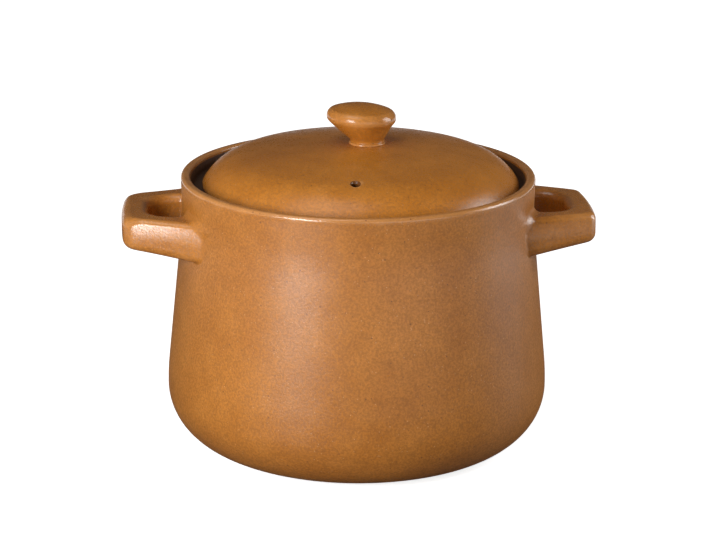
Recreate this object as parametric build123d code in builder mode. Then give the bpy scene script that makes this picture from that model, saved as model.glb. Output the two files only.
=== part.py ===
from build123d import *

import math
import os

os.makedirs("parts", exist_ok=True)

# A thrown clay pot with two ear handles luted to its wall, and a loose domed lid with a knob.
# Millimetres, +Z up. The origin is the middle of the foot, on the surface that the pot stands on.
# The handles point along +X and -X, and the front is -Y.

# Pot body
pot_height = 155.0
rim_radius = 100.0
collar_height = 23.4
neck_inset = 0.6
neck_ease = 10.7
belly_radius = 108.9
belly_rise = 7.8
heel_radius = 32.5
wall = 6.0
floor_thickness = 8.0
foot_ring_width = 14.0
foot_recess = 1.2
lip_round = 1.9

# Gallery, the step inside the rim that carries the lid
rim_wall = 5.4
gallery_depth = 8.7
gallery_draft = 1.2
gallery_fillet = 2.5
ledge_width = 11.4
throat_height = 6.0
throat_round = 1.5
spring_drop = 16.0
spring_ease = 5.5

# Lid
lid_gap = 3.9
lid_edge_round = 2.7
lid_rise = 26.1
crown_radius = 345.0
shoulder_radius = 33.0
lid_thickness = 5.5
flange_depth = 8.0
flange_thickness = 5.0
flange_fillet = 4.0
throat_play = 2.0
# Part of the play taken up on the +X side, because a loose lid never lies quite central
lid_play_share = 0.8
vent_diameter = 5.0
vent_inset = 7.6
vent_angle = -97.0
vent_round = 0.6

# Knob of the lid
knob_radius = 19.6
knob_stem_radius = 11.3
knob_stem_height = 14.8
knob_stem_ease = 1.1
knob_brim_ease = 1.5
knob_brim_round = 4.6
knob_dome_height = 7.2
knob_root_fillet = 1.6

# Handles
handle_length = 34.0
handle_root_width = 90.0
handle_waist_width = 70.0
handle_end_width = 58.0
handle_root_height = 21.4
handle_end_height = 16.6
handle_drop = 17.7
handle_fall = 0.9
handle_bow = 1.5
handle_corner_radius = 9.0
handle_top_round = 5.2
handle_under_round = 4.6
handle_bar = 12.6
gap_width = 42.0
gap_corner_radius = 14.0
# Place of the waist between the wall and the end of a handle
handle_waist_share = 0.45

# Overrun of cuts
overrun = 5.0

neck_height = pot_height - collar_height
neck_radius = rim_radius - neck_inset
belly_height = heel_radius + belly_rise
base_radius = belly_radius - heel_radius
ledge_height = pot_height - gallery_depth
throat_low = ledge_height - throat_height
spring_height = throat_low - spring_drop
gallery_top_radius = rim_radius - rim_wall
gallery_low_radius = gallery_top_radius - gallery_draft
throat_radius = gallery_low_radius - ledge_width


def flank_radius(height):
    """Outside radius of the flank at a height between the belly and the neck."""
    share = (height - belly_height) / (neck_height - belly_height)
    return belly_radius - share * (belly_radius - neck_radius)


def eased(before, at, after, reach):
    """An arc that rounds a corner between two lines and touches both at reach from the corner."""
    start = Vector(*at) + (Vector(*before) - Vector(*at)).normalized() * reach
    end = Vector(*at) + (Vector(*after) - Vector(*at)).normalized() * reach
    return TangentArc(start, end, tangent=Vector(*at) - start)


def corner(sketch, across, up):
    """The vertex of a sketch nearest to a point of its plane."""
    return sketch.vertices().sort_by_distance((across, up))[0]


def outer_flank():
    """Outside of the pot from the foot to the rim, drawn in the current line builder."""
    JernArc(start=(base_radius, 0), tangent=(1, 0), radius=heel_radius, arc_size=90)
    belly = (belly_radius, belly_height)
    neck = (neck_radius, neck_height)
    rim = (rim_radius, pot_height)
    belly_arc = eased((belly_radius, heel_radius), belly, neck, belly_rise)
    neck_arc = eased(belly, neck, rim, neck_ease)
    Line(belly_arc @ 1, neck_arc @ 0)
    Line(neck_arc @ 1, rim)


# The solid form that the outside of the pot encloses, which the handles are cut back to
with BuildPart() as wall_form:
    with BuildSketch(Plane.YZ):
        with BuildLine():
            outer_flank()
            Polyline((rim_radius, pot_height), (0, pot_height), (0, 0), (base_radius, 0))
        make_face()
    revolve(axis=Axis.Z)

# Body: foot ring, round heel, belly, near-straight collar, and the gallery inside the rim
with BuildPart() as pot_body:
    foot_inner = base_radius - foot_ring_width
    inner_heel_radius = heel_radius - floor_thickness
    inner_floor_radius = belly_radius - wall - inner_heel_radius
    with BuildSketch(Plane.YZ) as section:
        with BuildLine():
            outer_flank()
            Polyline(
                (rim_radius, pot_height),
                (gallery_top_radius, pot_height),
                (gallery_low_radius, ledge_height),
                (throat_radius, ledge_height),
                (throat_radius, throat_low),
            )
            Polyline(
                (base_radius, 0),
                (foot_inner, 0),
                (foot_inner - foot_recess, foot_recess),
                (0, foot_recess),
                (0, floor_thickness),
                (inner_floor_radius, floor_thickness),
            )
            JernArc(
                start=(inner_floor_radius, floor_thickness),
                tangent=(1, 0),
                radius=inner_heel_radius,
                arc_size=90,
            )
            # The inside follows the flank and then springs inwards to the throat
            inner_belly = (belly_radius - wall, belly_height)
            spring = (flank_radius(spring_height) - wall, spring_height)
            throat = (throat_radius, throat_low)
            inner_belly_arc = eased((belly_radius - wall, heel_radius), inner_belly, spring, belly_rise)
            spring_arc = eased(inner_belly, spring, throat, spring_ease)
            Line(inner_belly_arc @ 1, spring_arc @ 0)
            Line(spring_arc @ 1, throat)
        make_face()
        fillet(corner(section, rim_radius, pot_height), radius=lip_round)
        fillet(corner(section, gallery_top_radius, pot_height), radius=lip_round)
        fillet(corner(section, gallery_low_radius, ledge_height), radius=gallery_fillet)
        fillet(corner(section, throat_radius, ledge_height), radius=throat_round)
        fillet(corner(section, throat_radius, throat_low), radius=throat_round)
    revolve(axis=Axis.Z)

# Handle on +X: a waisted ear that tapers outwards, with a D-shaped finger gap against the wall
with BuildPart() as handle_right:
    handle_reach = neck_radius + handle_length
    shoulder_reach = handle_reach - handle_bow
    waist_reach = neck_radius + handle_waist_share * handle_length
    # Where the splayed sides of the root meet the round wall
    root_reach = math.sqrt(neck_radius**2 - (handle_root_width / 2) ** 2)
    inner_reach = root_reach - wall
    top_root = pot_height - handle_drop
    top_end = top_root - handle_fall
    low_root = top_root - handle_root_height
    low_end = top_end - handle_end_height
    gap_end = handle_reach - handle_bar
    side_height = handle_root_height + 4 * overrun
    with BuildSketch(Plane.XY.offset(low_root - 2 * overrun)) as plan:
        with BuildLine():
            inner_corners = []
            for side in (1, -1):
                flare = ThreePointArc(
                    (root_reach, side * handle_root_width / 2),
                    (waist_reach, side * handle_waist_width / 2),
                    (shoulder_reach, side * handle_end_width / 2),
                )
                # The flare runs straight on into the wall
                run_on = Line(flare @ 0, flare @ 0 - (flare % 0) * wall)
                inner_corners.append(run_on @ 1)
            Line(*inner_corners)
            ThreePointArc(
                (shoulder_reach, -handle_end_width / 2),
                (handle_reach, 0),
                (shoulder_reach, handle_end_width / 2),
            )
        make_face()
        fillet(corner(plan, shoulder_reach, handle_end_width / 2), radius=handle_corner_radius)
        fillet(corner(plan, shoulder_reach, -handle_end_width / 2), radius=handle_corner_radius)
        Polygon(
            (inner_reach, -gap_width / 2),
            (gap_end, -gap_width / 2),
            (gap_end, gap_width / 2),
            (inner_reach, gap_width / 2),
            align=None,
            mode=Mode.SUBTRACT,
        )
        fillet(corner(plan, gap_end, gap_width / 2), radius=gap_corner_radius)
        fillet(corner(plan, gap_end, -gap_width / 2), radius=gap_corner_radius)
    extrude(amount=side_height)
    with BuildSketch(Plane.XZ):
        # Top and underside fall and rise evenly, and run on past both ends of the ear
        far = (handle_reach + overrun - neck_radius) / handle_length
        near = (inner_reach - overrun - neck_radius) / handle_length
        Polygon(
            (inner_reach - overrun, top_root - near * handle_fall),
            (handle_reach + overrun, top_root - far * handle_fall),
            (handle_reach + overrun, low_root + far * (low_end - low_root)),
            (inner_reach - overrun, low_root + near * (low_end - low_root)),
            align=None,
        )
    extrude(amount=handle_root_width, both=True, mode=Mode.INTERSECT)
    # All edges of the two arms are rounded but those of their ends inside the wall
    for face_order, arm_round in ((-1, handle_top_round), (0, handle_under_round)):
        arm_ends = handle_right.faces().sort_by(Axis.X)[:2]
        broad_side = handle_right.faces().sort_by(Axis.Z)[face_order]
        fillet(broad_side.edges() - arm_ends.edges(), radius=arm_round)
    add(wall_form.part, mode=Mode.SUBTRACT)

# Handle on -X: the same ear on the other side
with BuildPart() as handle_left:
    add(handle_right.part, rotation=(0, 0, 180))

# Lid, which lies in the gallery a little to the +X side
lid_shift = throat_play * lid_play_share
lid_edge_radius = gallery_low_radius - lid_gap
lid_plane = Plane.YZ.offset(lid_shift)
lid_axis = Axis((lid_shift, 0, 0), (0, 0, 1))
crown_height = ledge_height + lid_rise
crown_centre = (0, crown_height - crown_radius)
edge_centre = (lid_edge_radius - lid_edge_round, ledge_height + lid_edge_round)


def at_tilt(centre, radius, tilt):
    """The point of a circle at a tilt from straight up, in radians."""
    return (centre[0] + radius * math.sin(tilt), centre[1] + radius * math.cos(tilt))


def arc_about(centre, radius, first_tilt, last_tilt):
    """An arc about a centre between two tilts, drawn in the current line builder."""
    tilts = (first_tilt, (first_tilt + last_tilt) / 2, last_tilt)
    return ThreePointArc(*[at_tilt(centre, radius, tilt) for tilt in tilts])


def crown_at(radius):
    """Height of the crown's outside at a distance from the lid's axis."""
    return crown_centre[1] + math.sqrt(crown_radius**2 - radius**2)


# The shoulder arc touches the crown arc and the round of the edge from inside
span = math.dist(crown_centre, edge_centre)
crown_arm = crown_radius - shoulder_radius
edge_arm = shoulder_radius - lid_edge_round
edge_tilt = math.atan2(edge_centre[0] - crown_centre[0], edge_centre[1] - crown_centre[1])
shoulder_tilt = edge_tilt - math.acos((crown_arm**2 + span**2 - edge_arm**2) / (2 * crown_arm * span))
shoulder_centre = at_tilt(crown_centre, crown_arm, shoulder_tilt)
drop_tilt = math.atan2(edge_centre[0] - shoulder_centre[0], edge_centre[1] - shoulder_centre[1])

with BuildPart() as lid:
    flange_radius = throat_radius - throat_play
    flange_inner = flange_radius - flange_thickness
    flange_low = ledge_height - flange_depth
    under_radius = crown_radius - lid_thickness
    with BuildSketch(lid_plane) as section:
        with BuildLine():
            arc_about(crown_centre, crown_radius, 0, shoulder_tilt)
            arc_about(shoulder_centre, shoulder_radius, shoulder_tilt, drop_tilt)
            arc_about(edge_centre, lid_edge_round, drop_tilt, math.pi)
            Polyline(
                (edge_centre[0], ledge_height),
                (flange_radius, ledge_height),
                (flange_radius, flange_low + flange_thickness / 2),
            )
            ThreePointArc(
                (flange_radius, flange_low + flange_thickness / 2),
                (flange_radius - flange_thickness / 2, flange_low),
                (flange_inner, flange_low + flange_thickness / 2),
            )
            under = arc_about(crown_centre, under_radius, math.asin(flange_inner / under_radius), 0)
            Line((flange_inner, flange_low + flange_thickness / 2), under @ 0)
            Line(under @ 1, (0, crown_height))
        make_face()
        fillet(corner(section, *tuple(under @ 0)[:2]), radius=flange_fillet)
    revolve(axis=lid_axis)
    vent_reach = flange_inner - vent_inset
    vent_turn = math.radians(vent_angle)
    with Locations(
        (lid_shift + vent_reach * math.cos(vent_turn), vent_reach * math.sin(vent_turn), crown_height)
    ):
        Hole(radius=vent_diameter / 2)
    fillet(lid.edges(Select.NEW).sort_by(Axis.Z)[-1], radius=vent_round)

# Knob, thrown solid and luted to the crown of the lid
with BuildPart() as lid_knob:
    widest_height = crown_height + knob_stem_height
    foot_radius = knob_stem_radius + knob_root_fillet
    foot = (foot_radius, crown_at(foot_radius))
    stem_foot = (knob_stem_radius, foot[1] + knob_root_fillet)
    stem_corner = (knob_stem_radius, stem_foot[1] + knob_stem_ease)
    brim_corner = (knob_radius, widest_height - knob_brim_ease)
    # The dome's arc touches the round of the brim from inside
    brim_centre = (knob_radius - knob_brim_round, widest_height)
    dome_radius = (brim_centre[0] ** 2 + knob_dome_height**2 - knob_brim_round**2) / (
        2 * (knob_dome_height - knob_brim_round)
    )
    knob_top = widest_height + knob_dome_height
    dome_centre = (0, knob_top - dome_radius)
    brim_tilt = math.atan2(brim_centre[0], brim_centre[1] - dome_centre[1])
    with BuildSketch(lid_plane):
        with BuildLine():
            arc_about(crown_centre, crown_radius, 0, math.asin(foot_radius / crown_radius))
            TangentArc(foot, stem_foot, tangent=(-1, 0))
            stem_arc = eased(stem_foot, stem_corner, brim_corner, knob_stem_ease)
            brim_arc = eased(stem_corner, brim_corner, (knob_radius, widest_height), knob_brim_ease)
            Line(stem_arc @ 1, brim_arc @ 0)
            arc_about(brim_centre, knob_brim_round, math.pi / 2, brim_tilt)
            arc_about(dome_centre, dome_radius, brim_tilt, 0)
            Line((0, knob_top), (0, crown_height))
        make_face()
    revolve(axis=lid_axis)

pieces = {
    "pot_body": pot_body,
    "handle_right": handle_right,
    "handle_left": handle_left,
    "lid": lid,
    "lid_knob": lid_knob,
}
for name, piece in pieces.items():
    piece.part.label = name
    export_step(piece.part, f"parts/{name}.step")
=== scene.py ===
import math

import bpy
import numpy as np
from mathutils import Matrix, Vector


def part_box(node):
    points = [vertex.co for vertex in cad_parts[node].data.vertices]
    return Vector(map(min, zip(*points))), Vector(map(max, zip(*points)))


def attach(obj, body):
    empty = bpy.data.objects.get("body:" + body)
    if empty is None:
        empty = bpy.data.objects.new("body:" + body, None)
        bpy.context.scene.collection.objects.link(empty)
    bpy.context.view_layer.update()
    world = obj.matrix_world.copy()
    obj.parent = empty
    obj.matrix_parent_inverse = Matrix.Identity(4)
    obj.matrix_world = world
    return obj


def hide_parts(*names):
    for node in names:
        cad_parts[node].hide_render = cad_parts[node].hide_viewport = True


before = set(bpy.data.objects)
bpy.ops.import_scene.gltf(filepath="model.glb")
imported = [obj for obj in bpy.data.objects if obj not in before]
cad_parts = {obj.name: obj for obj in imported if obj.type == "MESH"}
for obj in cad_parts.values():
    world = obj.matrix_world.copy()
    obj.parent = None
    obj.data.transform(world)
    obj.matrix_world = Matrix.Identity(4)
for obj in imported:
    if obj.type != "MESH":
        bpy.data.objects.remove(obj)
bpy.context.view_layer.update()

# A lidded clay sand pot on a pale floor. Everything is in metres, in the frame of the solids:
# +Z is up, the handles point along +X and -X, and the front is -Y.
MM = 0.001

# Camera
CAMERA_PLACE = (-0.0941, -1.1963, 0.46467)
CAMERA_HEADING = math.radians(4.512)
CAMERA_PITCH = math.radians(17.028)
CAMERA_ROLL = math.radians(0.393)
CAMERA_LENS = 110.35

# Pot body
POT_HEIGHT = 155 * MM
RIM_RADIUS = 100 * MM
NECK_RADIUS = 99.4 * MM
NECK_HEIGHT = 131.6 * MM
NECK_EASE = 10.7 * MM
BELLY_RADIUS = 108.9 * MM
BELLY_RISE = 7.8 * MM
HEEL_RADIUS = 32.5 * MM
WALL = 6 * MM
FLOOR_THICKNESS = 8 * MM
FOOT_RING_WIDTH = 14 * MM
FOOT_RECESS = 1.2 * MM
LIP_ROUND = 1.9 * MM

# Gallery inside the rim
RIM_WALL = 5.4 * MM
GALLERY_DRAFT = 1.2 * MM
GALLERY_FILLET = 2.5 * MM
LEDGE_HEIGHT = 146.3 * MM
THROAT_RADIUS = 82 * MM
THROAT_LOW = 140.3 * MM
THROAT_ROUND = 1.5 * MM
SPRING_DROP = 16 * MM
SPRING_EASE = 5.5 * MM

# Lid and knob
LID_EDGE_ROUND = 2.7 * MM
CROWN_RADIUS = 345 * MM
SHOULDER_RADIUS = 33 * MM
LID_THICKNESS = 5.5 * MM
FLANGE_RADIUS = 80 * MM
FLANGE_THICKNESS = 5 * MM
FLANGE_FILLET = 4 * MM
FLANGE_CORNER = 0.5 * MM
VENT_RADIUS = 2.2 * MM
VENT_REACH = 67.4 * MM
VENT_TURN = math.radians(-97)
VENT_LIP = 1.1 * MM
VENT_STRETCH = 1.35
VENT_OVERRUN = 1 * MM
VENT_CLEAR = 0.02 * MM
KNOB_STEM_RADIUS = 9.6 * MM
KNOB_STEM_HEIGHT = 14.8 * MM
KNOB_STEM_EASE = 1.1 * MM
KNOB_BRIM_EASE = 1.5 * MM
KNOB_BRIM_ROUND = 4.6 * MM
KNOB_BEAD = 0.75 * MM
# How deep the knob's foot reaches into the crown
KNOB_SINK = 2 * MM
# The knob was luted on by hand, its foot a little aside of its brim, and a little out of level. It leans
# from this far above its foot to this far below its top.
KNOB_ASIDE = (3.2 * MM, -1.6 * MM)
KNOB_TILT = math.radians(2.5)
KNOB_DROP = 0.05 * MM
KNOB_LEAN_START = 1 * MM
KNOB_LEAN_END = 9 * MM

# Handles
HANDLE_REACH = 133.4 * MM
HANDLE_WAIST_WIDTH = 70 * MM
HANDLE_WAIST_SHARE = 0.45
HANDLE_ROOT_TOP = 137.3 * MM
HANDLE_FALL = 0.9 * MM
HANDLE_ROOT_HEIGHT = 21.4 * MM
HANDLE_END_HEIGHT = 16.6 * MM
HANDLE_UNDER_ROUND = 4.6 * MM
# The long sides lean in towards a crisp top edge. Over a band before the reach, the far end's own round
# takes over.
HANDLE_SIDE_ROUND = 3 * MM
HANDLE_LEAN_HEIGHT = 13 * MM
HANDLE_LEAN_SHARE = 0.07
HANDLE_END_BAND = (-12 * MM, -5 * MM)
# Finger gap
GAP_WIDTH = 42 * MM
GAP_CORNER_RADIUS = 14 * MM
GAP_TOP_ROUND = 4.6 * MM
# The two ears were pressed and trimmed by hand, so they differ a little: the side that each is on, its
# widths at the wall and at its far end, how far that end bows out, the round of its corners and of its top
# edge, the bar beyond the gap, how much the far end rises, and the unevenness
EARS = {
    "handle_right": {
        "side": 1,
        "root": 90 * MM,
        "end": 57 * MM,
        "bow": 1.5 * MM,
        "corner": 6.5 * MM,
        "edge": 3.6 * MM,
        "bar": 14.4 * MM,
        "rise": 0,
        "seed": 5,
    },
    "handle_left": {
        "side": -1,
        "root": 96 * MM,
        "end": 58 * MM,
        "bow": 1.5 * MM,
        "corner": 9 * MM,
        "edge": 5 * MM,
        "bar": 15.4 * MM,
        "rise": 1.1 * MM,
        "seed": 8,
    },
}
# Slip worked into the joint between a handle and the wall: a little at the sides, more on top and in the
# gap, and the bands beside the gap and below the top over which it grows
SLIP_SIDE = 0.9 * MM
SLIP_TOP = 4.2 * MM
SLIP_GAP = 3.5 * MM
SLIP_GAP_BAND = (-7 * MM, -2 * MM)
SLIP_TOP_BAND = (-8 * MM, -1 * MM)
# From this share of its radius on the slip sinks into the wall, and it ends at this many radii. Below the
# surface of the wall a handle has a skirt of this depth.
SLIP_FADE = 0.04 * MM
SLIP_FADE_START = 0.6
SLIP_FADE_SPAN = 0.4
SLIP_END = 1.5
SKIRT_DEPTH = 2.5 * MM
# How far out from the neck the polish of hands begins and is full
RUBBED_BAND = (1 * MM, 4 * MM)
# Cells of the grids that a handle is meshed on, and how far these reach: around the handle, and in plan
# inwards of the neck, past the reach and to either side
HANDLE_CELL = 0.7 * MM
HANDLE_ROOM = 8 * MM
PLAN_CELL = 0.4 * MM
PLAN_INWARDS = 30 * MM
PLAN_OUTWARDS = 20 * MM
PLAN_HALF_WIDTH = 65 * MM
# Rounds of settling a handle's mesh, and how many of these also space its points
SETTLE_ROUNDS = 7
SPACING_ROUNDS = 5

# How far hand work leaves the turned forms out of true, and the radius from which they are so in full
BODY_WAVER = 0.28 * MM
BODY_SEED = 3
LID_WAVER = 0.22 * MM
LID_SEED = 11
KNOB_SEED = 13
WAVER_START = 20 * MM
# The waves that go round a turned form, how much weaker the short ones are, how far they lean with height,
# and a little more than they can add up to
RIPPLES = (1, 2, 3, 5, 7)
RIPPLE_FALL = 0.7
RIPPLE_LEAN = 40
RIPPLE_MOST = 2.9
# How far a handle is out of true, by how many waves, and how tight these can be, in radians a metre
HANDLE_WAVER = 0.22 * MM
WAVES = 6
WAVE_TURN = 110
# Segments around a turned form, and the radius of a bulge that counts as a full edge
SEGMENTS = 384
EDGE_REACH = 4 * MM

# Clay colours. The pot and the lid are one clay in two copies: the pot's pair is darker and greyer than
# the lid's, a painted sheen.
POT_SHEEN_DARK = (0.345, 0.122, 0.017, 1)
POT_SHEEN_PALE = (0.410, 0.154, 0.024, 1)
LID_DARK = (0.385, 0.135, 0.017, 1)
LID_PALE = (0.455, 0.168, 0.023, 1)
CLAY_BARE = (0.50, 0.24, 0.09, 1)
# Pale clay of wear; on the edges it is partly a painted highlight, and the scuffs take it too
WEAR_AND_HIGHLIGHT_COLOUR = (0.56, 0.27, 0.10, 1)
GLAZE_DARK = (0.055, 0.020, 0.007, 1)
GLAZE_WARM = (0.17, 0.060, 0.014, 1)
IRON = (0.12, 0.045, 0.014, 1)
GROG = (0.66, 0.42, 0.22, 1)
# Painted shade for the dark crevice of the gallery between rim and lid
CREVICE_SHADE_COLOUR = (0.030, 0.012, 0.005, 1)

# Sizes of the clay's clouds, patches, grain, dust and scuffs, how far apart its scuffs and specks lie, and
# how high its grain and patches stand
CLOUD_SIZE = 60 * MM
PATCH_SIZE = 13 * MM
GRAIN_SIZE = 1.25 * MM
DUST_SIZE = 0.5 * MM
SCUFF_SIZE = 5 * MM
SCUFF_SPACING = 31 * MM
IRON_SPACING = 3.4 * MM
GROG_SPACING = 1.9 * MM
GRAIN_RELIEF = 0.15 * MM
PATCH_RELIEF = 0.20 * MM

# Stage. The floor glows for the camera and in reflections, a little less near the pot than far away.
FLOOR_SIZE = 3.0
FLOOR_DROP = 0.1 * MM
FLOOR_COLOUR = (0.8, 0.8, 0.8, 1)
NEAR_GLOW = 0.75
FAR_GLOW = 1.0
GLOW_START = 0.25
GLOW_END = 0.9
TABLE_RADIUS = 0.75
TABLE_DROP = 0.05 * MM
TABLE_COLOUR = (0.16, 0.12, 0.09, 1)
# Each light's name, heading from the front towards +X and rise in degrees, distance, size and power
LIGHTS = (
    ("key", -39, 16, 0.85, (0.26, 0.40), 7.2),
    ("left", -85, 25, 1.2, (0.9, 0.9), 0.7),
    ("flank", 93, 20, 1.0, (0.4, 0.6), 6),
    ("low", 25, 8, 1.4, (1.2, 0.5), 2),
    ("top", -50, 66, 1.3, (0.8, 0.8), 4.6),
)
WORLD_STRENGTH = 0.07
LIGHTS_AIM = 90 * MM


# How much of each of these a stretch of surface has, next to its clay: the dark glaze inside, bare paler
# clay, painted shade in the gallery's crevice, and the polish of much handling
FINISHES = ("glaze", "bare", "crevice_shade", "rubbed")


# Camera


def add_camera():
    """The camera at the photograph's viewing angle."""
    forward = Vector(
        (
            math.sin(CAMERA_HEADING) * math.cos(CAMERA_PITCH),
            math.cos(CAMERA_HEADING) * math.cos(CAMERA_PITCH),
            -math.sin(CAMERA_PITCH),
        )
    )
    right = forward.cross(Vector((0, 0, 1))).normalized()
    up = right.cross(forward)
    turn = Matrix((right, up, -forward)).transposed().to_4x4()
    data = bpy.data.cameras.new("camera")
    data.lens = CAMERA_LENS
    camera = bpy.data.objects.new("camera", data)
    bpy.context.scene.collection.objects.link(camera)
    camera.matrix_world = Matrix.Translation(CAMERA_PLACE) @ turn @ Matrix.Rotation(CAMERA_ROLL, 4, "Z")
    bpy.context.scene.camera = camera


# Outlines in the plane of radius and height


def arc(centre, radius, first, last, steps=10):
    """Points of an arc; the angles are in degrees from outwards towards up."""
    turn = np.radians(np.linspace(first, last, steps))
    return [(centre[0] + radius * math.cos(t), centre[1] + radius * math.sin(t)) for t in turn]


def line(start, end, steps):
    """Evenly spaced points between two points, without the last."""
    return [
        (start[0] + (end[0] - start[0]) * s, start[1] + (end[1] - start[1]) * s)
        for s in np.linspace(0, 1, steps, endpoint=False)
    ]


def eased(before, at, after, reach, steps=8):
    """Points of an arc that rounds a corner and touches both of its lines at reach from it."""
    before, at, after = (np.array(p, float) for p in (before, at, after))
    one = (before - at) / np.linalg.norm(before - at)
    two = (after - at) / np.linalg.norm(after - at)
    half = math.acos(np.clip(one @ two, -1, 1)) / 2
    centre = at + (one + two) / np.linalg.norm(one + two) * reach / math.cos(half)
    first = at + one * reach - centre
    last = at + two * reach - centre
    sweep = math.atan2(first[0] * last[1] - first[1] * last[0], first @ last)
    return [
        (
            centre[0] + first[0] * math.cos(t) - first[1] * math.sin(t),
            centre[1] + first[0] * math.sin(t) + first[1] * math.cos(t),
        )
        for t in np.linspace(0, sweep, steps)
    ]


def rounded(before, at, after, radius, steps=8):
    """Points that round a corner with an arc of a radius."""
    one, two = np.subtract(before, at), np.subtract(after, at)
    half = math.acos(one @ two / (np.linalg.norm(one) * np.linalg.norm(two))) / 2
    return eased(before, at, after, radius / math.tan(half), steps)


def outer_side():
    """The outside of the pot from the belly to the rim."""
    belly = (BELLY_RADIUS, HEEL_RADIUS + BELLY_RISE)
    neck = (NECK_RADIUS, NECK_HEIGHT)
    rim = (RIM_RADIUS, POT_HEIGHT)
    low = eased((BELLY_RADIUS, HEEL_RADIUS), belly, neck, BELLY_RISE)
    high = eased(belly, neck, rim, NECK_EASE, 12)
    return low + line(low[-1], high[0], 30)[1:] + high + line(high[-1], rim, 7)[1:]


def inner_side():
    """The inside of the pot from the belly up to the underside of the throat."""
    belly = (BELLY_RADIUS - WALL, HEEL_RADIUS + BELLY_RISE)
    height = THROAT_LOW - SPRING_DROP
    share = (height - belly[1]) / (NECK_HEIGHT - belly[1])
    spring = (BELLY_RADIUS - share * (BELLY_RADIUS - NECK_RADIUS) - WALL, height)
    throat = (THROAT_RADIUS, THROAT_LOW)
    low = eased((belly[0], HEEL_RADIUS), belly, spring, BELLY_RISE)
    high = eased(belly, spring, throat, SPRING_EASE)
    edge = rounded(high[-1], throat, (THROAT_RADIUS, LEDGE_HEIGHT), THROAT_ROUND, 6)
    return low + line(low[-1], high[0], 26)[1:] + high + line(high[-1], edge[0], 6)[1:] + edge


def pot_outline():
    """The pot's section from the middle of the foot round to the middle of the floor, each stretch with
    its FINISHES."""
    base = BELLY_RADIUS - HEEL_RADIUS
    foot_inner = base - FOOT_RING_WIDTH
    recess_edge = foot_inner - FOOT_RECESS
    rim_inner = RIM_RADIUS - RIM_WALL
    gallery_low = rim_inner - GALLERY_DRAFT
    tuck = HEEL_RADIUS - FLOOR_THICKNESS
    floor_edge = BELLY_RADIUS - WALL - tuck
    foot = line((0, FOOT_RECESS), (recess_edge, FOOT_RECESS), 12)
    foot += line((recess_edge, FOOT_RECESS), (foot_inner, 0), 3)
    foot += line((foot_inner, 0), (base, 0), 8)
    heel = arc((base, HEEL_RADIUS), HEEL_RADIUS, -90, 0, 36)[:-1]
    side = [p for p in outer_side() if p[1] < POT_HEIGHT - LIP_ROUND]
    lip = arc((RIM_RADIUS - LIP_ROUND, POT_HEIGHT - LIP_ROUND), LIP_ROUND, 0, 90)
    lip += arc((rim_inner + LIP_ROUND, POT_HEIGHT - LIP_ROUND), LIP_ROUND, 90, 180)
    corner = (gallery_low - GALLERY_FILLET, LEDGE_HEIGHT + GALLERY_FILLET)
    wall_top = (rim_inner, POT_HEIGHT - LIP_ROUND)
    shelf = line(wall_top, (gallery_low, corner[1]), 5)[1:]
    shelf += arc(corner, GALLERY_FILLET, 0, -90, 8)
    shelf += line((corner[0], LEDGE_HEIGHT), (THROAT_RADIUS + THROAT_ROUND, LEDGE_HEIGHT), 6)[1:]
    throat = arc((THROAT_RADIUS + THROAT_ROUND, LEDGE_HEIGHT - THROAT_ROUND), THROAT_ROUND, 90, 180, 7)
    inside = inner_side()[::-1]
    bowl = arc((floor_edge, HEEL_RADIUS), tuck, 0, -90, 26)[1:]
    bowl += line((floor_edge, FLOOR_THICKNESS), (0, FLOOR_THICKNESS), 14)[1:]
    bowl += [(0, FLOOR_THICKNESS)]
    return [
        (foot, 0, 1, 0, 0),
        (heel + side, 0, 0, 0, 0),
        (lip, 0, 0, 0, 1),
        # The gallery's shelf and throat carry painted shade for the crevice
        (shelf + throat, 0, 0, 1, 0),
        (inside + bowl, 1, 0, 0, 0),
    ]


def lid_shape():
    """The lid's crown, shoulder and edge circles as (centre, radius), and the tilts where they meet."""
    low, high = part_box("lid")
    edge_radius = (high.x - low.x) / 2
    crown = (0, high.z - CROWN_RADIUS)
    edge = (edge_radius - LID_EDGE_ROUND, LEDGE_HEIGHT + LID_EDGE_ROUND)
    span = math.dist(crown, edge)
    crown_arm = CROWN_RADIUS - SHOULDER_RADIUS
    edge_arm = SHOULDER_RADIUS - LID_EDGE_ROUND
    tilt = math.atan2(edge[0] - crown[0], edge[1] - crown[1])
    first = tilt - math.acos((crown_arm**2 + span**2 - edge_arm**2) / (2 * crown_arm * span))
    shoulder = (crown[0] + crown_arm * math.sin(first), crown[1] + crown_arm * math.cos(first))
    last = math.atan2(edge[0] - shoulder[0], edge[1] - shoulder[1])
    return crown, shoulder, edge, math.degrees(first), math.degrees(last)


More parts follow.
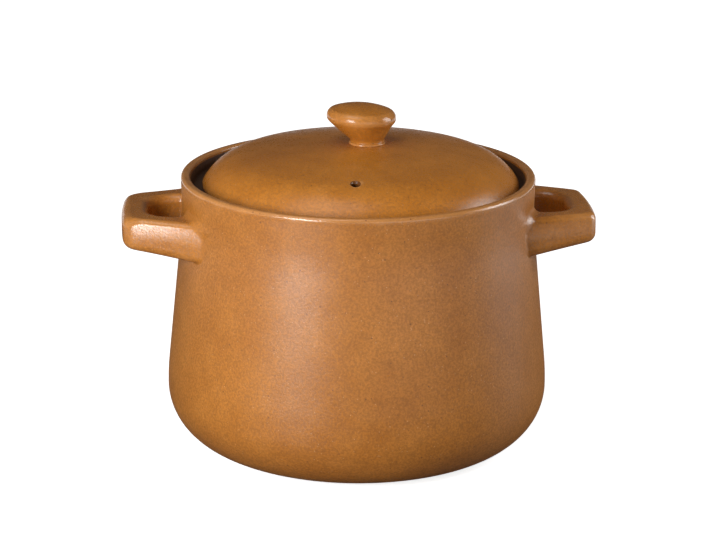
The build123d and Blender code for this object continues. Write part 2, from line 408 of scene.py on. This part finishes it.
def lid_outline():
    """The lid's section from under the crown, round the flange and the edge, to the top of the crown,
    each stretch with its FINISHES."""
    crown, shoulder, edge, first, last = lid_shape()
    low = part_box("lid")[0].z
    under = CROWN_RADIUS - LID_THICKNESS
    inner = FLANGE_RADIUS - FLANGE_THICKNESS
    bend = inner - FLANGE_FILLET
    bend_tilt = math.degrees(math.asin(bend / under))
    ceiling = arc(crown, under, 90, 90 - bend_tilt, 26)
    corner = (bend, ceiling[-1][1] - FLANGE_FILLET)
    tip = (FLANGE_RADIUS - FLANGE_THICKNESS / 2, low + FLANGE_THICKNESS / 2)
    flange = arc(corner, FLANGE_FILLET, 84, 0, 8)
    flange += line(flange[-1], (inner, tip[1]), 4)[1:]
    flange += arc(tip, FLANGE_THICKNESS / 2, 180, 360, 14)
    flange += line((FLANGE_RADIUS, tip[1]), (FLANGE_RADIUS, LEDGE_HEIGHT - FLANGE_CORNER), 4)[1:]
    seat = line((FLANGE_RADIUS + FLANGE_CORNER, LEDGE_HEIGHT), (edge[0], LEDGE_HEIGHT), 5)
    rim = arc(edge, LID_EDGE_ROUND, -90, 90 - last, 14)[:-1]
    rise = arc(shoulder, SHOULDER_RADIUS, 90 - last, 90 - first, 32)[:-1]
    dome = arc(crown, CROWN_RADIUS, 90 - first, 90, 48)
    return [
        (ceiling, 1, 0, 0, 0),
        (flange, 0.15, 0.7, 0, 0),
        (seat, 0, 0.8, 0, 0),
        (rim + rise + dome, 0, 0, 0, 0),
    ]


def knob_outline():
    """The knob's section from just inside the crown, up the stem and over the dome, with its FINISHES."""
    low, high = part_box("lid_knob")
    radius = (high.x - low.x) / 2
    crown = lid_shape()[0]
    foot_height = crown[1] + math.sqrt(CROWN_RADIUS**2 - KNOB_STEM_RADIUS**2)
    widest = crown[1] + CROWN_RADIUS + KNOB_STEM_HEIGHT
    bead = (KNOB_STEM_RADIUS, foot_height + KNOB_BEAD / 2)
    stem_foot = (KNOB_STEM_RADIUS, foot_height + 2 * KNOB_BEAD)
    stem_corner = (KNOB_STEM_RADIUS, stem_foot[1] + KNOB_STEM_EASE)
    brim_corner = (radius, widest - KNOB_BRIM_EASE)
    sunk = foot_height - KNOB_SINK
    hidden = line((0, sunk), (KNOB_STEM_RADIUS + KNOB_BEAD, sunk), 4)
    root = arc(bead, KNOB_BEAD, -60, 85, 9)
    stem = eased(stem_foot, stem_corner, brim_corner, KNOB_STEM_EASE, 6)
    brim = eased(stem_corner, brim_corner, (radius, widest), KNOB_BRIM_EASE, 6)
    rise = high.z - widest
    centre = radius - KNOB_BRIM_ROUND
    dome_radius = (centre**2 + rise**2 - KNOB_BRIM_ROUND**2) / (2 * (rise - KNOB_BRIM_ROUND))
    tilt = math.degrees(math.atan2(centre, dome_radius - rise))
    dome = arc((centre, widest), KNOB_BRIM_ROUND, 0, 90 - tilt, 12)[1:]
    dome += arc((0, high.z - dome_radius), dome_radius, 90 - tilt, 90, 16)[1:]
    return [(hidden + root + stem + line(stem[-1], brim[0], 8)[1:] + brim + dome, 0, 0, 0, 0)]


# Meshes


def ripple(turn, height, seed):
    """A slow unevenness between 0 and 1 around a turned form."""
    rng = np.random.default_rng(seed)
    total = np.zeros(np.broadcast(turn, height).shape)
    for turns in RIPPLES:
        phase, lean = rng.uniform(0, 2 * np.pi), rng.uniform(-RIPPLE_LEAN, RIPPLE_LEAN)
        total += np.sin(turns * turn + phase + lean * height) / turns**RIPPLE_FALL
    return 0.5 + 0.5 * total / RIPPLE_MOST


def new_piece(name, points, faces):
    """A mesh object of these points and faces, shaded smooth."""
    mesh = bpy.data.meshes.new(name)
    mesh.from_pydata(points, [], faces)
    mesh.validate()
    mesh.polygons.foreach_set("use_smooth", [True] * len(mesh.polygons))
    mesh.update()
    piece = bpy.data.objects.new(name, mesh)
    bpy.context.scene.collection.objects.link(piece)
    return piece


def write_values(piece, name, values):
    """Keeps a value for each point of a piece, for its material to read."""
    held = piece.data.attributes.new(name, "FLOAT", "POINT")
    held.data.foreach_set("value", np.asarray(values, np.float32))


def mark_edges(piece):
    """Marks how sharply each point bulges out, from -1 in a hollow to 1 on an edge."""
    mesh = piece.data
    points = np.empty(len(mesh.vertices) * 3)
    mesh.vertices.foreach_get("co", points)
    points = points.reshape(-1, 3)
    normals = np.empty(len(mesh.vertices) * 3)
    mesh.vertices.foreach_get("normal", normals)
    normals = normals.reshape(-1, 3)
    ends = np.empty(len(mesh.edges) * 2, np.int64)
    mesh.edges.foreach_get("vertices", ends)
    one, two = ends.reshape(-1, 2).T
    apart = points[one] - points[two]
    length = np.maximum((apart**2).sum(-1), 1e-12)
    bend = ((normals[one] - normals[two]) * apart).sum(-1) / length
    total = np.bincount(one, bend, len(points)) + np.bincount(two, bend, len(points))
    count = np.bincount(one, minlength=len(points)) + np.bincount(two, minlength=len(points))
    bulge = total / np.maximum(count, 1)
    for _ in range(2):
        total = np.bincount(one, bulge[two], len(points)) + np.bincount(two, bulge[one], len(points))
        bulge = 0.5 * bulge + 0.5 * total / np.maximum(count, 1)
    write_values(piece, "edge", np.clip(bulge * EDGE_REACH, -1, 1))


def turn_piece(name, outline, axis, waver, seed, place=None):
    """A piece turned about a vertical axis from an outline that starts under it and ends on it."""
    rings = np.array([point for stretch in outline for point in stretch[0]])
    finish = np.concatenate([np.tile(stretch[1:], (len(stretch[0]), 1)) for stretch in outline])
    turn = np.linspace(0, 2 * np.pi, SEGMENTS, endpoint=False)[None, :]
    inner = rings[1:-1]
    give = waver * ripple(turn, inner[:, 1:], seed) * np.clip(inner[:, :1] / WAVER_START, 0, 1)
    radius = inner[:, :1] - give
    points = np.stack([axis + radius * np.cos(turn), radius * np.sin(turn), inner[:, 1:] + 0 * turn], -1)
    ends = [[axis, 0, rings[0][1]], [axis, 0, rings[-1][1]]]
    points = np.concatenate([points.reshape(-1, 3), ends])
    if place:
        points = place(points)
    count = len(inner)
    first, last = len(points) - 2, len(points) - 1
    k = np.arange(SEGMENTS)
    n = (k + 1) % SEGMENTS
    top = (count - 1) * SEGMENTS
    faces = np.stack([np.full(SEGMENTS, first), n, k], -1).tolist()
    faces += np.stack([np.full(SEGMENTS, last), top + k, top + n], -1).tolist()
    for i in range(count - 1):
        a, b = i * SEGMENTS, (i + 1) * SEGMENTS
        faces += np.stack([a + k, a + n, b + n, b + k], -1).tolist()
    piece = new_piece(name, points.tolist(), faces)
    for label, values in zip(FINISHES, finish.T):
        write_values(piece, label, np.append(np.repeat(values[1:-1], SEGMENTS), values[[0, -1]]))
    return piece


def field_piece(name, field, low, high):
    """A closed mesh of the surface where a field of space is zero, negative inside."""
    sides = [np.arange(a, b, HANDLE_CELL) for a, b in zip(low, high)]
    grid = np.stack(np.meshgrid(*sides, indexing="ij"), -1)
    inside = field(grid) < 0
    near = sum(
        inside[x : x - 1 or None, y : y - 1 or None, z : z - 1 or None].astype(int)
        for x in (0, 1)
        for y in (0, 1)
        for z in (0, 1)
    )
    crossed = (near > 0) & (near < 8)
    index = np.full(crossed.shape, -1)
    index[crossed] = np.arange(crossed.sum())
    points = grid[:-1, :-1, :-1][crossed] + HANDLE_CELL / 2
    faces = []
    for axis in range(3):
        flags = np.moveaxis(inside, axis, 0)
        cells = np.moveaxis(index, axis, 0)
        if axis == 1:
            flags, cells = flags.swapaxes(1, 2), cells.swapaxes(1, 2)
        step = flags[:-1].astype(int) - flags[1:].astype(int)
        i, j, k = np.nonzero(step[:, 1:-1, 1:-1])
        way = step[:, 1:-1, 1:-1][i, j, k]
        ring = [cells[i, j, k], cells[i, j + 1, k], cells[i, j + 1, k + 1], cells[i, j, k + 1]]
        quads = np.stack(ring, -1)
        quads[way < 0] = quads[way < 0][:, ::-1]
        faces.append(quads)
    faces = np.concatenate(faces)
    points = settle(points, faces, field)
    return new_piece(name, points.tolist(), faces.tolist())


def settle(points, faces, field):
    """Moves the points of a rough mesh onto the zero of its field, and spaces them evenly."""
    ends = np.concatenate([faces[:, [a, (a + 1) % 4]] for a in range(4)])
    ends = np.concatenate([ends, ends[:, ::-1]])
    count = np.bincount(ends[:, 0], minlength=len(points))[:, None]
    small = HANDLE_CELL / 20
    for turn in range(SETTLE_ROUNDS):
        if turn < SPACING_ROUNDS:
            total = [np.bincount(ends[:, 0], points[ends[:, 1], a], len(points)) for a in range(3)]
            points = 0.5 * points + 0.5 * np.stack(total, -1) / count
        for _ in range(2):
            value = field(points)
            slope = np.stack([field(points + small * way) - value for way in np.eye(3)], -1) / small
            push = (value / np.maximum((slope**2).sum(-1), 0.25))[:, None] * slope
            points = points - np.clip(push, -HANDLE_CELL, HANDLE_CELL)
    return points


def round_and(a, b, radius):
    """The overlap of two forms, given by distances, with a round of a radius on the edge between them."""
    return (
        np.hypot(np.maximum(a + radius, 0), np.maximum(b + radius, 0))
        - radius
        + np.minimum(np.maximum(a, b) + radius, 0)
    )


def round_or(a, b, radius):
    """Two forms joined, with a hollow fillet of a radius between them."""
    return -round_and(-a, -b, radius)


def outline_distance(x, y, outline):
    """Distance from a closed outline in a plane, negative inside."""
    start = np.array(outline)
    end = np.roll(start, -1, axis=0)
    point = np.stack([x, y], -1).reshape(-1, 1, 2)
    edge = end - start
    share = ((point - start) * edge).sum(-1) / (edge**2).sum(-1)
    away = point - start - np.clip(share, 0, 1)[..., None] * edge
    distance = np.sqrt((away**2).sum(-1)).min(1)
    above = (start[:, 1] > point[..., 1]) != (end[:, 1] > point[..., 1])
    rise = np.where(np.abs(edge[:, 1]) < 1e-12, 1e-12, edge[:, 1])
    across = start[:, 0] + (point[..., 1] - start[:, 1]) / rise * edge[:, 0]
    inside = (above & (point[..., 0] < across)).sum(1) % 2 == 1
    return np.where(inside, -distance, distance).reshape(x.shape)


def plan_table(outline):
    """Distances from an outline on a grid of its plane, and a function that looks them up."""
    low = np.array([NECK_RADIUS - PLAN_INWARDS, -PLAN_HALF_WIDTH])
    sizes = ((HANDLE_REACH - low[0] + PLAN_OUTWARDS) / PLAN_CELL, -2 * low[1] / PLAN_CELL)
    sides = [corner + PLAN_CELL * np.arange(int(size)) for corner, size in zip(low, sizes)]
    table = outline_distance(*np.meshgrid(*sides, indexing="ij"), outline)

    def look_up(x, y):
        u, v = (x - low[0]) / PLAN_CELL, (y - low[1]) / PLAN_CELL
        i = np.clip(u.astype(int), 0, table.shape[0] - 2)
        j = np.clip(v.astype(int), 0, table.shape[1] - 2)
        a, b = u - i, v - j
        near = table[i, j] * (1 - b) + table[i, j + 1] * b
        far = table[i + 1, j] * (1 - b) + table[i + 1, j + 1] * b
        return near * (1 - a) + far * a

    return look_up


def circle_through(one, two, three):
    """Centre of the circle through three points of a plane."""
    matrix = 2 * np.array([np.subtract(two, one), np.subtract(three, one)])
    sides = [np.dot(two, two) - np.dot(one, one), np.dot(three, three) - np.dot(one, one)]
    return np.linalg.solve(matrix, sides)


def arc_through(one, two, three, steps):
    """Points of the arc through three points."""
    centre = circle_through(one, two, three)
    turns = np.unwrap([math.atan2(p[1] - centre[1], p[0] - centre[0]) for p in (one, two, three)])
    return arc(centre, math.dist(one, centre), math.degrees(turns[0]), math.degrees(turns[2]), steps)


def ear_outline(shape):
    """The handle's plan on +X: flared sides and a slightly bowed end with round corners."""
    half_root = shape["root"] / 2
    root = math.sqrt(NECK_RADIUS**2 - half_root**2)
    waist = NECK_RADIUS + HANDLE_WAIST_SHARE * (HANDLE_REACH - NECK_RADIUS)
    shoulder = HANDLE_REACH - shape["bow"]
    half_end = shape["end"] / 2
    side = arc_through((root, half_root), (waist, HANDLE_WAIST_WIDTH / 2), (shoulder, half_end), 24)
    end = arc_through((shoulder, half_end), (HANDLE_REACH, 0), (shoulder, -half_end), 25)
    corner = rounded(side[-4], side[-1], end[4], shape["corner"])
    side = [p for p in side if p[0] < corner[0][0]]
    end = [p for p in end if abs(p[1]) < corner[-1][1]]
    run_on = (side[0][0] - 3 * WALL, side[0][1] + 3 * WALL)
    upper = [run_on] + side + corner
    return upper + end + [(x, -y) for x, y in upper[::-1]]


def gap_outline(bar):
    """The plan of the finger gap, which runs on into the wall."""
    end = HANDLE_REACH - bar
    near = NECK_RADIUS - 3 * WALL
    half = GAP_WIDTH / 2
    corner = rounded((near, half), (end, half), (end, 0), GAP_CORNER_RADIUS, 12)
    return [(near, half)] + corner + [(x, -y) for x, y in corner[::-1]] + [(near, -half)]


def smooth(value, low, high):
    """0 up to low, 1 from high, and an even turn between."""
    share = np.clip((value - low) / (high - low), 0, 1)
    return share * share * (3 - 2 * share)


def handle_field(points, ear_plan, gap_plan, shape):
    """Distance from a handle with its slip fillet and a skirt that dips into the wall."""
    side = shape["side"]
    x, y, z = side * points[..., 0], side * points[..., 1], points[..., 2]
    run = (x - NECK_RADIUS) / (HANDLE_REACH - NECK_RADIUS)
    top = HANDLE_ROOT_TOP - run * (HANDLE_FALL - shape["rise"])
    low = HANDLE_ROOT_TOP - HANDLE_ROOT_HEIGHT
    low = low + run * (HANDLE_ROOT_HEIGHT - HANDLE_FALL - HANDLE_END_HEIGHT)
    rng = np.random.default_rng(shape["seed"])
    uneven = np.zeros_like(x)
    for _ in range(WAVES):
        a, b, c = rng.uniform(-WAVE_TURN, WAVE_TURN, 3)
        phase = rng.uniform(0, 6.28)
        uneven += np.sin(a * x + b * y + c * z + phase)
    uneven = HANDLE_WAVER * (1 + uneven / WAVES) / 2
    lean = HANDLE_LEAN_SHARE * np.clip((z - top) / HANDLE_LEAN_HEIGHT + 1, 0, 1) ** 2
    plan = ear_plan(x, y * (1 + lean)) + uneven
    gap = -gap_plan(x, y) + uneven
    over = z - top + uneven
    under = low - z + uneven
    end = smooth(x - HANDLE_REACH, *HANDLE_END_BAND)
    top_round = HANDLE_SIDE_ROUND + (shape["edge"] - HANDLE_SIDE_ROUND) * end
    ear = round_and(round_and(plan, over, top_round), under, HANDLE_UNDER_ROUND)
    hole = round_and(round_and(gap, over, GAP_TOP_ROUND), under, HANDLE_UNDER_ROUND)
    ear = np.maximum(ear, hole)
    turn = np.arctan2(points[..., 1], points[..., 0])
    give = BODY_WAVER * ripple(turn, z, BODY_SEED)
    wall = np.hypot(x, y) - np.interp(z, SIDE_HEIGHTS, SIDE_RADII) + give
    slip = SLIP_SIDE + (SLIP_GAP - SLIP_SIDE) * smooth(gap, *SLIP_GAP_BAND)
    slip = slip + (SLIP_TOP - slip) * smooth(z - HANDLE_ROOT_TOP, *SLIP_TOP_BAND)
    fade = SLIP_FADE * np.clip((ear / slip - SLIP_FADE_START) / SLIP_FADE_SPAN, 0, 3) ** 2
    joined = round_or(ear, wall + fade, slip)
    return np.maximum(np.maximum(joined, -wall - SKIRT_DEPTH), ear - SLIP_END * slip)


def handle(name):
    """One ear handle."""
    low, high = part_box(name)
    shape = EARS[name]
    ear_plan = plan_table(ear_outline(shape))
    gap_plan = plan_table(gap_outline(shape["bar"]))
    piece = field_piece(
        name + "_clay",
        lambda points: handle_field(points, ear_plan, gap_plan, shape),
        [side - HANDLE_ROOM for side in low],
        [side + HANDLE_ROOM for side in high],
    )
    away = [math.hypot(point.co.x, point.co.y) - NECK_RADIUS for point in piece.data.vertices]
    write_values(piece, "rubbed", smooth(np.array(away), *RUBBED_BAND))
    return piece


def set_knob(points):
    """Sets the knob's foot a little aside of its brim, and lets the brim dip on that side."""
    low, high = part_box("lid_knob")
    across = points[:, 0] - (low.x + high.x) / 2
    share = smooth(points[:, 2], low.z + KNOB_LEAN_START, high.z - KNOB_LEAN_END)
    points[:, 0] += KNOB_ASIDE[0] * (1 - share)
    points[:, 1] += KNOB_ASIDE[1] * (1 - share)
    points[:, 2] -= share * (math.tan(KNOB_TILT) * across + KNOB_DROP)
    return points


def pierce(piece, axis):
    """The steam vent, with a lip on the outside softly rounded by wear."""
    crown = lid_shape()[0]
    place = (axis + VENT_REACH * math.cos(VENT_TURN), VENT_REACH * math.sin(VENT_TURN))
    surface = crown[1] + math.sqrt(CROWN_RADIUS**2 - VENT_REACH**2)
    lean = VENT_REACH / math.sqrt(CROWN_RADIUS**2 - VENT_REACH**2)
    steps = 40
    rings = [(VENT_RADIUS, -4 * LID_THICKNESS)]
    rings += [
        (VENT_RADIUS + VENT_LIP * (1 - math.cos(t)), -VENT_LIP * (1 - math.sin(t)))
        for t in np.linspace(0, math.pi / 2, 8)
    ]
    # Past the lip the cutter stands a hair above the crown
    wide = VENT_RADIUS + VENT_LIP + VENT_OVERRUN
    rings += [(wide, VENT_CLEAR), (wide, LID_THICKNESS)]
    points, faces = [], []
    for radius, depth in rings:
        for k in range(steps):
            t = 2 * math.pi * k / steps
            x, y = radius * math.cos(t), radius * VENT_STRETCH * math.sin(t)
            outwards = x * math.cos(VENT_TURN) + y * math.sin(VENT_TURN)
            points.append((place[0] + x, place[1] + y, surface + depth - lean * outwards))
    for i in range(len(rings) - 1):
        for k in range(steps):
            n = (k + 1) % steps
            faces.append((i * steps + k, i * steps + n, (i + 1) * steps + n, (i + 1) * steps + k))
    faces.append(tuple(range(steps))[::-1])
    faces.append(tuple(range((len(rings) - 1) * steps, len(rings) * steps)))
    cutter = new_piece("vent_cutter", points, faces)
    cut = piece.modifiers.new("vent", "BOOLEAN")
    cut.operation = "DIFFERENCE"
    cut.solver = "EXACT"
    cut.object = cutter
    bpy.context.view_layer.update()
    shaped = bpy.data.meshes.new_from_object(piece.evaluated_get(bpy.context.evaluated_depsgraph_get()))
    piece.modifiers.clear()
    piece.data = shaped
    bpy.data.objects.remove(cutter)


# Materials


def node(tree, kind, inputs=None, **settings):
    """A shader node with its settings and its input values or links."""
    made = tree.nodes.new(kind)
    for key, value in settings.items():
        setattr(made, key, value)
    for key, value in (inputs or {}).items():
        if isinstance(value, bpy.types.NodeSocket):
            tree.links.new(value, made.inputs[key])
        else:
            made.inputs[key].default_value = value
    return made


def noise(tree, place, size, detail=2.0):
    """A noise of about this size, from 0 to 1."""
    inputs = {"Vector": place, "Scale": 1 / size, "Detail": detail}
    return node(tree, "ShaderNodeTexNoise", inputs).outputs["Fac"]


def level(tree, value, low, high, first=0.0, last=1.0):
    """A value spread smoothly between two levels."""
    inputs = {"Value": value, "From Min": low, "From Max": high, "To Min": first, "To Max": last}
    return node(tree, "ShaderNodeMapRange", inputs, interpolation_type="SMOOTHSTEP").outputs["Result"]


def sums(tree, one, two, way="ADD"):
    """Two values put together."""
    return node(tree, "ShaderNodeMath", {0: one, 1: two}, operation=way).outputs[0]


def mixed(tree, share, one, two, way="MIX"):
    """Two colours mixed by a share."""
    inputs = {"Factor": share, 6: one, 7: two}
    return node(tree, "ShaderNodeMix", inputs, data_type="RGBA", blend_type=way).outputs[2]


def shaded(tree, colour, amount):
    """A colour made darker or paler by an amount."""
    grey = node(tree, "ShaderNodeCombineColor", {0: amount, 1: amount, 2: amount}).outputs[0]
    return mixed(tree, 1.0, colour, grey, "MULTIPLY")


def grains(tree, place, size, least, most):
    """Round grains scattered through the clay, 1 inside a grain."""
    cells = node(tree, "ShaderNodeTexVoronoi", {"Vector": place, "Scale": 1 / size})
    chance = node(tree, "ShaderNodeSeparateColor", {"Color": cells.outputs["Color"]}).outputs["Red"]
    reach = level(tree, chance, 0.45, 1.0, 0.0, most)
    inner = sums(tree, reach, cells.outputs["Distance"], "SUBTRACT")
    return level(tree, inner, 0.0, least)


def clay(name, dark, pale, shift, roughness, coarseness, gloss):
    """Satin orange-brown fired clay: clouded, grainy, pale at its edges from wear and in part a painted
    highlight, darker in hollows and in the gallery's crevice as painted shade, and glazed dark inside.
    """
    material = bpy.data.materials.new(name)
    material.use_nodes = True
    tree = material.node_tree
    shader = tree.nodes["Principled BSDF"]
    spot = node(tree, "ShaderNodeTexCoord").outputs["Object"]
    place = node(tree, "ShaderNodeVectorMath", {0: spot, 1: shift}, operation="ADD").outputs[0]
    values = {
        key: node(tree, "ShaderNodeAttribute", attribute_name=key).outputs["Fac"]
        for key in ("edge",) + FINISHES
    }

    clouds = noise(tree, place, CLOUD_SIZE, 3.0)
    patches = noise(tree, place, PATCH_SIZE, 4.0)
    grain = noise(tree, place, GRAIN_SIZE, 2.0)
    dust = noise(tree, place, DUST_SIZE, 1.0)
    tone = sums(tree, sums(tree, clouds, 0.6, "MULTIPLY"), sums(tree, patches, 0.4, "MULTIPLY"))
    colour = mixed(tree, level(tree, tone, 0.34, 0.66), dark, pale)
    colour = shaded(tree, colour, level(tree, grain, 0.30, 0.70, 0.80, 1.14))
    colour = shaded(tree, colour, level(tree, dust, 0.25, 0.75, 0.90, 1.08))

    # Edges paler: partly wear and partly a painted highlight on rims and handle edges
    wear_and_highlight = sums(tree, values["edge"], sums(tree, sums(tree, patches, 0.5, "SUBTRACT"), 0.8, "MULTIPLY"))
    colour = mixed(tree, level(tree, wear_and_highlight, 0.12, 0.9, 0.0, 0.42), colour, WEAR_AND_HIGHLIGHT_COLOUR)
    # Painted shade: the hollows of a piece are darkened towards the clay's dark tone
    hollow = level(tree, values["edge"], -0.02, -0.6, 0.0, 0.5)
    colour = mixed(tree, hollow, colour, dark)

    scrape_inputs = {"Vector": place, "Rotation": (0.3, 0.5, 0.8), "Scale": (1, 9, 1)}
    scrape = node(tree, "ShaderNodeMapping", scrape_inputs)
    scuffs = level(tree, noise(tree, scrape.outputs[0], SCUFF_SIZE, 2.0), 0.69, 0.74)
    rare = level(tree, noise(tree, place, SCUFF_SPACING, 1.0), 0.56, 0.64)
    scuffs = sums(tree, sums(tree, scuffs, rare, "MULTIPLY"), 0.55, "MULTIPLY")
    colour = mixed(tree, scuffs, colour, WEAR_AND_HIGHLIGHT_COLOUR)
    iron = grains(tree, place, IRON_SPACING, 0.04, 0.16)
    colour = mixed(tree, sums(tree, iron, 0.75, "MULTIPLY"), colour, IRON)
    grog = grains(tree, place, GROG_SPACING, 0.06, 0.19)
    colour = mixed(tree, sums(tree, grog, 0.45, "MULTIPLY"), colour, GROG)

    uneven = sums(tree, sums(tree, patches, 0.5, "SUBTRACT"), 0.7, "MULTIPLY")
    bare = level(tree, sums(tree, values["bare"], uneven), 0.35, 0.65)
    colour = mixed(tree, sums(tree, bare, 0.8, "MULTIPLY"), colour, mixed(tree, 0.5, CLAY_BARE, colour))
    glaze = level(tree, sums(tree, values["glaze"], uneven), 0.40, 0.60)
    pool = mixed(tree, level(tree, tone, 0.38, 0.62), GLAZE_DARK, GLAZE_WARM)
    colour = mixed(tree, glaze, colour, pool)
    # Painted shade in the gallery's crevice, which is also made rougher
    crevice_shade = level(tree, sums(tree, values["crevice_shade"], uneven), 0.15, 0.75, 0.0, 0.9)
    colour = mixed(tree, crevice_shade, colour, CREVICE_SHADE_COLOUR)
    tree.links.new(colour, shader.inputs["Base Color"])

    rough = level(tree, grain, 0.3, 0.7, roughness + 0.05, roughness - 0.05)
    rough = sums(tree, rough, sums(tree, sums(tree, patches, 0.5, "SUBTRACT"), 0.12, "MULTIPLY"))
    rough = sums(tree, rough, level(tree, values["edge"], 0.1, 0.7, 0.0, -0.12))
    rough = sums(tree, rough, sums(tree, bare, 0.2, "MULTIPLY"))
    rough = sums(tree, rough, sums(tree, crevice_shade, 0.3, "MULTIPLY"))
    rough = sums(tree, rough, sums(tree, values["rubbed"], -0.10, "MULTIPLY"))
    dulled = sums(tree, 1.0, sums(tree, glaze, 0.58, "MULTIPLY"), "SUBTRACT")
    tree.links.new(sums(tree, rough, dulled, "MULTIPLY"), shader.inputs["Roughness"])
    shader.inputs["Specular IOR Level"].default_value = gloss

    keep = sums(tree, 1.0, sums(tree, glaze, 0.8, "MULTIPLY"), "SUBTRACT")
    fine = sums(tree, sums(tree, grain, 0.45, "MULTIPLY"), sums(tree, dust, 0.55, "MULTIPLY"))
    height = sums(tree, sums(tree, fine, coarseness * GRAIN_RELIEF, "MULTIPLY"), keep, "MULTIPLY")
    height = sums(tree, height, sums(tree, patches, PATCH_RELIEF, "MULTIPLY"))
    bump = node(tree, "ShaderNodeBump", {"Height": height, "Distance": 1.0, "Strength": 0.9})
    tree.links.new(bump.outputs["Normal"], shader.inputs["Normal"])
    return material


# Stage


def add_floor():
    """A plain pale floor that shows white where no shadow falls."""
    corners = ((-1, -1), (1, -1), (1, 1), (-1, 1))
    points = [(FLOOR_SIZE * x, FLOOR_SIZE * y, -FLOOR_DROP) for x, y in corners]
    floor = new_piece("floor", points, [(0, 1, 2, 3)])
    material = bpy.data.materials.new("floor")
    material.use_nodes = True
    tree = material.node_tree
    shader = tree.nodes["Principled BSDF"]
    path = node(tree, "ShaderNodeLightPath")
    seen = sums(tree, path.outputs["Is Camera Ray"], path.outputs["Is Glossy Ray"], "MAXIMUM")
    seen = sums(tree, seen, path.outputs["Is Transmission Ray"], "MAXIMUM")
    shader.inputs["Base Color"].default_value = FLOOR_COLOUR
    shader.inputs["Roughness"].default_value = 0.9
    shader.inputs["Specular IOR Level"].default_value = 0.0
    shader.inputs["Emission Color"].default_value = (1, 1, 1, 1)
    spot = node(tree, "ShaderNodeTexCoord").outputs["Object"]
    away = node(tree, "ShaderNodeVectorMath", {0: spot}, operation="LENGTH").outputs["Value"]
    glow = level(tree, away, GLOW_START, GLOW_END, NEAR_GLOW, FAR_GLOW)
    tree.links.new(sums(tree, seen, glow, "MULTIPLY"), shader.inputs["Emission Strength"])
    floor.data.materials.append(material)


def add_table():
    """The dark table that the pot reflects low down; the camera sees only the pale floor under it."""
    turn = np.linspace(0, 2 * np.pi, 64, endpoint=False)
    points = [(TABLE_RADIUS * math.cos(t), TABLE_RADIUS * math.sin(t), -TABLE_DROP) for t in turn]
    table = new_piece("table", points, [tuple(range(64))])
    material = bpy.data.materials.new("table")
    material.use_nodes = True
    shader = material.node_tree.nodes["Principled BSDF"]
    shader.inputs["Base Color"].default_value = TABLE_COLOUR
    shader.inputs["Roughness"].default_value = 0.6
    table.data.materials.append(material)
    table.visible_camera = False
    table.visible_shadow = False


def add_light(name, heading, rise, distance, size, power):
    """A soft rectangular light around the pot; the heading is from the front towards +X, in degrees."""
    turn, lift = math.radians(heading), math.radians(rise)
    target = Vector((0, 0, LIGHTS_AIM))
    away = Vector((math.sin(turn) * math.cos(lift), -math.cos(turn) * math.cos(lift), math.sin(lift)))
    data = bpy.data.lights.new(name, "AREA")
    data.shape = "RECTANGLE"
    data.size, data.size_y = size
    data.energy = power
    light = bpy.data.objects.new(name, data)
    bpy.context.scene.collection.objects.link(light)
    light.location = target + distance * away
    light.rotation_euler = (-away).to_track_quat("-Z", "Y").to_euler()


add_camera()

side_points = np.array(outer_side())
SIDE_RADII = np.concatenate([[BELLY_RADIUS], side_points[:, 0]])
SIDE_HEIGHTS = np.concatenate([[0], side_points[:, 1]])

# The pot's copy of the clay is greyer than the lid's, a painted sheen
pot_material = clay("pot_clay", POT_SHEEN_DARK, POT_SHEEN_PALE, (0, 0, 0), 0.35, 1.0, 0.66)
lid_material = clay("lid_clay", LID_DARK, LID_PALE, (0.37, 0.11, 0.23), 0.30, 0.6, 0.42)

lid_low, lid_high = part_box("lid")
lid_axis = (lid_low.x + lid_high.x) / 2

pot_body = turn_piece("pot_body_clay", pot_outline(), 0, BODY_WAVER, BODY_SEED)
handle_right = handle("handle_right")
handle_left = handle("handle_left")
lid = turn_piece("lid_clay", lid_outline(), lid_axis, LID_WAVER, LID_SEED)
lid_knob = turn_piece("lid_knob_clay", knob_outline(), lid_axis, LID_WAVER / 2, KNOB_SEED, set_knob)
pierce(lid, lid_axis)
pieces = (
    (pot_body, "pot_body", "pot", pot_material),
    (handle_right, "handle_right", "pot", pot_material),
    (handle_left, "handle_left", "pot", pot_material),
    (lid, "lid", "lid", lid_material),
    (lid_knob, "lid_knob", "lid", lid_material),
)
for piece, cad_node, body, material in pieces:
    mark_edges(piece)
    piece.data.materials.clear()
    piece.data.materials.append(material)
    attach(piece, body)
    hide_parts(cad_node)

add_floor()
add_table()
for name, heading, rise, distance, size, power in LIGHTS:
    add_light(name, heading, rise, distance, size, power)

world = bpy.data.worlds.new("studio")
bpy.context.scene.world = world
world.use_nodes = True
world.node_tree.nodes["Background"].inputs["Color"].default_value = (1, 1, 1, 1)
world.node_tree.nodes["Background"].inputs["Strength"].default_value = WORLD_STRENGTH

bpy.context.scene.view_settings.view_transform = "Standard"
